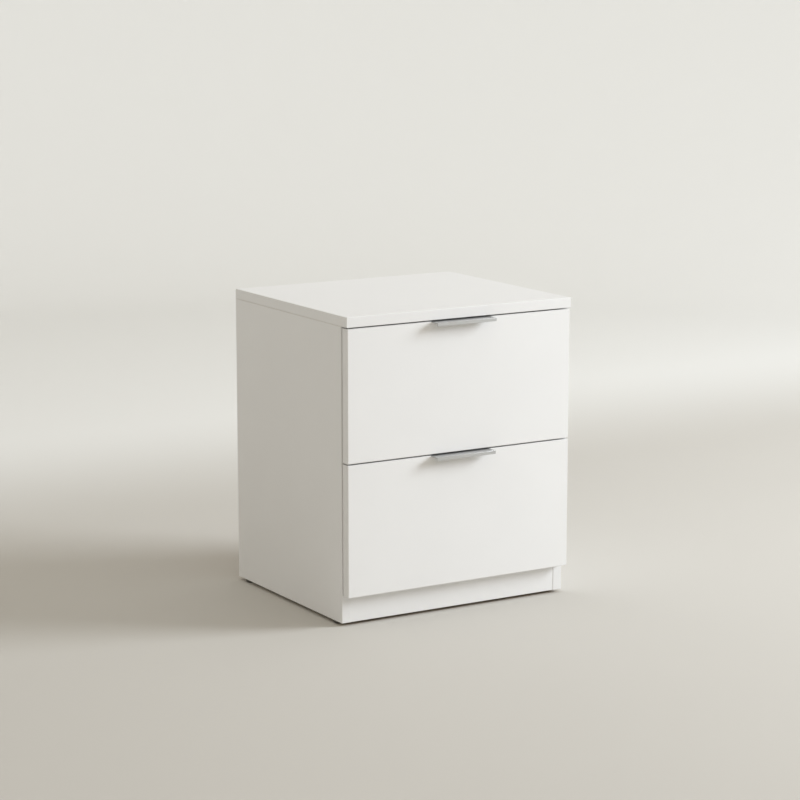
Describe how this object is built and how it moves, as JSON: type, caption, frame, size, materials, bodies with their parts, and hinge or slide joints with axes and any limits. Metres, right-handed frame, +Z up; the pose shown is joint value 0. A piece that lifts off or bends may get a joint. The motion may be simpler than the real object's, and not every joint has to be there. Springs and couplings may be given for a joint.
{
  "type": "nightstand with drawers",
  "caption": "Low white bedside cabinet: drawers on roller runners with aluminium edge pulls, an overhanging top and a set-back plinth.",
  "frame": {"origin": "on the floor, under the middle of the whole outline, handles included", "axes": "+X to the object's right as seen from the front, +Y to the back, +Z up; the drawers open along -Y"},
  "size_m": [0.38, 0.35, 0.45],
  "materials": {
    "coated_board": "satin white melamine on chipboard",
    "edge_band": "satin white edge band",
    "drawer_foil": "white foil on chipboard",
    "hardboard": "white lacquered hardboard",
    "runner_steel": "white epoxy powder",
    "roller_nylon": "moulded nylon",
    "screw_steel": "zinc plated",
    "cam_zinc": "die-cast zinc",
    "anodised_handle": "satin anodised",
    "dowel_beech": "bare beech",
    "glide_plastic": "moulded"
  },
  "bodies": {
    "case": {"back_panel": "hardboard", "back_panel_nails": "screw_steel", "bottom_panel": "coated_board", "case_cam_bolts": "screw_steel", "case_cams": "cam_zinc", "case_dowels": "dowel_beech", "case_edge_bands": "edge_band", "case_rail_axles": "screw_steel", "case_rail_left_lower": "runner_steel", "case_rail_left_upper": "runner_steel", "case_rail_right_lower": "runner_steel", "case_rail_right_upper": "runner_steel", "case_rail_screws": "screw_steel", "glide_nails": "screw_steel", "glides": "glide_plastic", "plinth_front": "coated_board", "side_panel_left": "coated_board", "side_panel_right": "coated_board", "top_edge_bands": "edge_band", "top_panel": "coated_board"},
    "drawer_lower": {"drawer_back_lower": "drawer_foil", "drawer_back_screws_lower": "screw_steel", "drawer_base_lower": "hardboard", "drawer_cam_bolts_lower": "screw_steel", "drawer_cams_lower": "cam_zinc", "drawer_dowels_lower": "dowel_beech", "drawer_front_lower": "coated_board", "drawer_rail_axles_lower": "screw_steel", "drawer_rail_left_lower": "runner_steel", "drawer_rail_right_lower": "runner_steel", "drawer_rail_screws_lower": "screw_steel", "drawer_side_left_lower": "drawer_foil", "drawer_side_right_lower": "drawer_foil", "front_edge_bands_lower": "edge_band", "handle_lower": "anodised_handle", "handle_screws_lower": "screw_steel"},
    "drawer_upper": {"drawer_back_screws_upper": "screw_steel", "drawer_back_upper": "drawer_foil", "drawer_base_upper": "hardboard", "drawer_cam_bolts_upper": "screw_steel", "drawer_cams_upper": "cam_zinc", "drawer_dowels_upper": "dowel_beech", "drawer_front_upper": "coated_board", "drawer_rail_axles_upper": "screw_steel", "drawer_rail_left_upper": "runner_steel", "drawer_rail_right_upper": "runner_steel", "drawer_rail_screws_upper": "screw_steel", "drawer_side_left_upper": "drawer_foil", "drawer_side_right_upper": "drawer_foil", "front_edge_bands_upper": "edge_band", "handle_screws_upper": "screw_steel", "handle_upper": "anodised_handle"},
    "case_roller_left_lower": {"case_roller_left_lower": "roller_nylon"},
    "case_roller_left_upper": {"case_roller_left_upper": "roller_nylon"},
    "case_roller_right_lower": {"case_roller_right_lower": "roller_nylon"},
    "case_roller_right_upper": {"case_roller_right_upper": "roller_nylon"},
    "drawer_roller_left_lower": {"drawer_roller_left_lower": "roller_nylon"},
    "drawer_roller_left_upper": {"drawer_roller_left_upper": "roller_nylon"},
    "drawer_roller_right_lower": {"drawer_roller_right_lower": "roller_nylon"},
    "drawer_roller_right_upper": {"drawer_roller_right_upper": "roller_nylon"}
  },
  "joints": [
    {"name": "drawer_lower_slide", "type": "slide", "parent": "case", "child": "drawer_lower", "axis": [0, -1, 0], "range_m": [0, 0.22]},
    {"name": "drawer_upper_slide", "type": "slide", "parent": "case", "child": "drawer_upper", "axis": [0, -1, 0], "range_m": [0, 0.22]},
    {"name": "case_roller_left_lower_spin", "type": "hinge", "parent": "case", "child": "case_roller_left_lower", "pos_m": [-0.169, -0.129, 0.09345], "axis": [1, 0, 0], "continuous": true},
    {"name": "case_roller_right_lower_spin", "type": "hinge", "parent": "case", "child": "case_roller_right_lower", "pos_m": [0.169, -0.129, 0.09345], "axis": [1, 0, 0], "continuous": true},
    {"name": "drawer_roller_left_lower_spin", "type": "hinge", "parent": "drawer_lower", "child": "drawer_roller_left_lower", "pos_m": [-0.168, 0.144, 0.0945], "axis": [1, 0, 0], "continuous": true},
    {"name": "drawer_roller_right_lower_spin", "type": "hinge", "parent": "drawer_lower", "child": "drawer_roller_right_lower", "pos_m": [0.168, 0.144, 0.0945], "axis": [1, 0, 0], "continuous": true},
    {"name": "case_roller_left_upper_spin", "type": "hinge", "parent": "case", "child": "case_roller_left_upper", "pos_m": [-0.169, -0.129, 0.28845], "axis": [1, 0, 0], "continuous": true},
    {"name": "case_roller_right_upper_spin", "type": "hinge", "parent": "case", "child": "case_roller_right_upper", "pos_m": [0.169, -0.129, 0.28845], "axis": [1, 0, 0], "continuous": true},
    {"name": "drawer_roller_left_upper_spin", "type": "hinge", "parent": "drawer_upper", "child": "drawer_roller_left_upper", "pos_m": [-0.168, 0.144, 0.2895], "axis": [1, 0, 0], "continuous": true},
    {"name": "drawer_roller_right_upper_spin", "type": "hinge", "parent": "drawer_upper", "child": "drawer_roller_right_upper", "pos_m": [0.168, 0.144, 0.2895], "axis": [1, 0, 0], "continuous": true}
  ],
  "couplings": [
    {"joint": "case_roller_left_lower_spin", "follows": "drawer_lower_slide", "rad_per_m": 111.11},
    {"joint": "case_roller_right_lower_spin", "follows": "drawer_lower_slide", "rad_per_m": 111.11},
    {"joint": "drawer_roller_left_lower_spin", "follows": "drawer_lower_slide", "rad_per_m": 98.522},
    {"joint": "drawer_roller_right_lower_spin", "follows": "drawer_lower_slide", "rad_per_m": 98.522},
    {"joint": "case_roller_left_upper_spin", "follows": "drawer_upper_slide", "rad_per_m": 111.11},
    {"joint": "case_roller_right_upper_spin", "follows": "drawer_upper_slide", "rad_per_m": 111.11},
    {"joint": "drawer_roller_left_upper_spin", "follows": "drawer_upper_slide", "rad_per_m": 98.522},
    {"joint": "drawer_roller_right_upper_spin", "follows": "drawer_upper_slide", "rad_per_m": 98.522}
  ]
}
